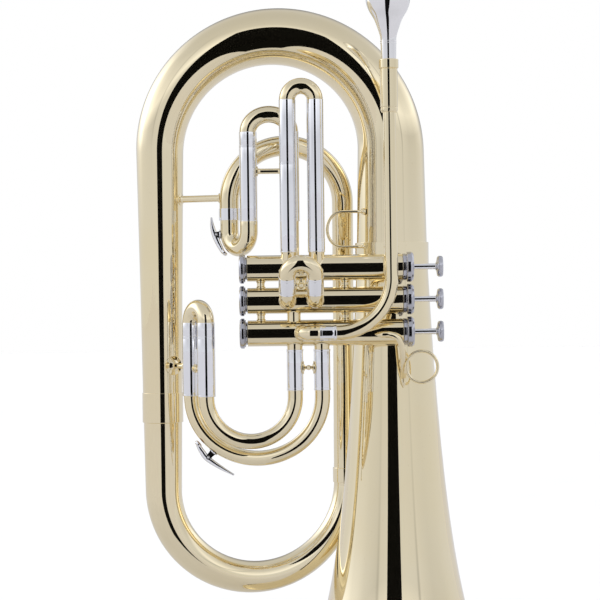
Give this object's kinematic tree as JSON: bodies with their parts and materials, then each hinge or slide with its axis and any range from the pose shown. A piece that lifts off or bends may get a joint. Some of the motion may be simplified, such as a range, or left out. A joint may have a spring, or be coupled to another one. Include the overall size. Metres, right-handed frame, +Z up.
{
  "type": "euphonium",
  "caption": "Marching-wrap euphonium standing on its bell: conical brass bows, sideways piston valves with springs, pull slides, water keys and a removable mouthpiece.",
  "frame": {"origin": "middle of the bounding box's base, on the plane of the bell's rim", "axes": "+Z up, from the bell's rim to the mouthpiece; +X towards the valve buttons; -Y towards the player's hand, the side with the valves"},
  "size_m": [0.3683, 0.2572, 0.6968],
  "materials": {
    "lacquered_brass": "polished, clear lacquer",
    "nickel_silver": "polished nickel",
    "silver_plate": "polished silver plate",
    "spring_steel": "drawn spring wire"
  },
  "bodies": {
    "instrument": {"bell_flare": "lacquered_brass", "bell_throat": "lacquered_brass", "bell_tail": "lacquered_brass", "top_bow": "lacquered_brass", "bottom_bow": "lacquered_brass", "loop_pipe": "lacquered_brass", "loop_ferrule": "nickel_silver", "drain_bend": "lacquered_brass", "valve_1_casing": "lacquered_brass", "valve_1_top_cap": "nickel_silver", "valve_1_bottom_cap": "nickel_silver", "valve_1_spring": "spring_steel", "valve_2_casing": "lacquered_brass", "valve_2_top_cap": "nickel_silver", "valve_2_bottom_cap": "nickel_silver", "valve_2_spring": "spring_steel", "valve_3_casing": "lacquered_brass", "valve_3_top_cap": "nickel_silver", "valve_3_bottom_cap": "nickel_silver", "valve_3_spring": "spring_steel", "spacer_1_2_left": "lacquered_brass", "spacer_1_2_right": "lacquered_brass", "valve_link_1_2": "lacquered_brass", "spacer_2_3_left": "lacquered_brass", "spacer_2_3_right": "lacquered_brass", "valve_link_2_3": "lacquered_brass", "main_slide_sleeve_left": "nickel_silver", "main_slide_sleeve_right": "nickel_silver", "main_slide_brace": "lacquered_brass", "first_slide_sleeve_left": "nickel_silver", "first_slide_sleeve_right": "nickel_silver", "second_slide_sleeve_left": "lacquered_brass", "second_slide_sleeve_right": "lacquered_brass", "third_valve_pipe_inner": "lacquered_brass", "third_valve_pipe_outer": "lacquered_brass", "third_slide_sleeve_front": "nickel_silver", "third_slide_sleeve_rear": "nickel_silver", "leadpipe": "lacquered_brass", "leadpipe_ferrule": "nickel_silver", "leadpipe_elbow": "lacquered_brass", "receiver": "lacquered_brass", "finger_ring": "lacquered_brass", "thumb_ring": "lacquered_brass", "upper_brace": "lacquered_brass", "lower_brace": "lacquered_brass", "drain_key_saddle": "nickel_silver", "third_key_saddle": "nickel_silver"},
    "valve_1": {"valve_1_piston": "nickel_silver", "valve_1_button": "nickel_silver"},
    "valve_2": {"valve_2_piston": "nickel_silver", "valve_2_button": "nickel_silver"},
    "valve_3": {"valve_3_piston": "nickel_silver", "valve_3_button": "nickel_silver"},
    "main_slide": {"main_slide_crook": "lacquered_brass"},
    "first_slide": {"first_slide_crook": "lacquered_brass"},
    "second_slide": {"second_slide_crook": "lacquered_brass"},
    "third_slide": {"third_slide_crook": "lacquered_brass"},
    "mouthpiece_body": {"mouthpiece": "silver_plate"},
    "drain_key": {"drain_key_lever": "nickel_silver"},
    "third_key": {"third_key_lever": "nickel_silver"}
  },
  "joints": [
    {"name": "valve_1_press", "type": "slide", "parent": "instrument", "child": "valve_1", "axis": [-1, 0, 0], "range_m": [0, 0.0165], "stiffness_N_per_m": 120, "springref_m": -0.02, "deforming": ["valve_1_spring"]},
    {"name": "valve_2_press", "type": "slide", "parent": "instrument", "child": "valve_2", "axis": [-1, 0, 0], "range_m": [0, 0.0165], "stiffness_N_per_m": 120, "springref_m": -0.02, "deforming": ["valve_2_spring"]},
    {"name": "valve_3_press", "type": "slide", "parent": "instrument", "child": "valve_3", "axis": [-1, 0, 0], "range_m": [0, 0.0165], "stiffness_N_per_m": 120, "springref_m": -0.02, "deforming": ["valve_3_spring"]},
    {"name": "main_slide_pull", "type": "slide", "parent": "instrument", "child": "main_slide", "axis": [0, 0, 1], "range_m": [0, 0.04]},
    {"name": "first_slide_pull", "type": "slide", "parent": "instrument", "child": "first_slide", "axis": [0, 0, 1], "range_m": [0, 0.011]},
    {"name": "second_slide_pull", "type": "slide", "parent": "instrument", "child": "second_slide", "axis": [0, -0.454, 0.891], "range_m": [0, 0.012]},
    {"name": "third_slide_pull", "type": "slide", "parent": "instrument", "child": "third_slide", "axis": [0, 0, 1], "range_m": [0, 0.04]},
    {"name": "mouthpiece_pull", "type": "slide", "parent": "instrument", "child": "mouthpiece_body", "axis": [0, 0, 1], "range_m": [0, 0.04]},
    {"name": "drain_key_press", "type": "hinge", "parent": "instrument", "child": "drain_key", "pos_m": [-0.1084, -0.022, 0.4741], "axis": [0, 1, 0], "range_deg": [0, 14], "stiffness_Nm_per_rad": 0.03, "springref_deg": -22.92},
    {"name": "third_key_press", "type": "hinge", "parent": "instrument", "child": "third_key", "pos_m": [-0.1174, -0.0405, 0.268], "axis": [0, -1, 0], "range_deg": [0, 14], "stiffness_Nm_per_rad": 0.03, "springref_deg": -22.92}
  ]
}
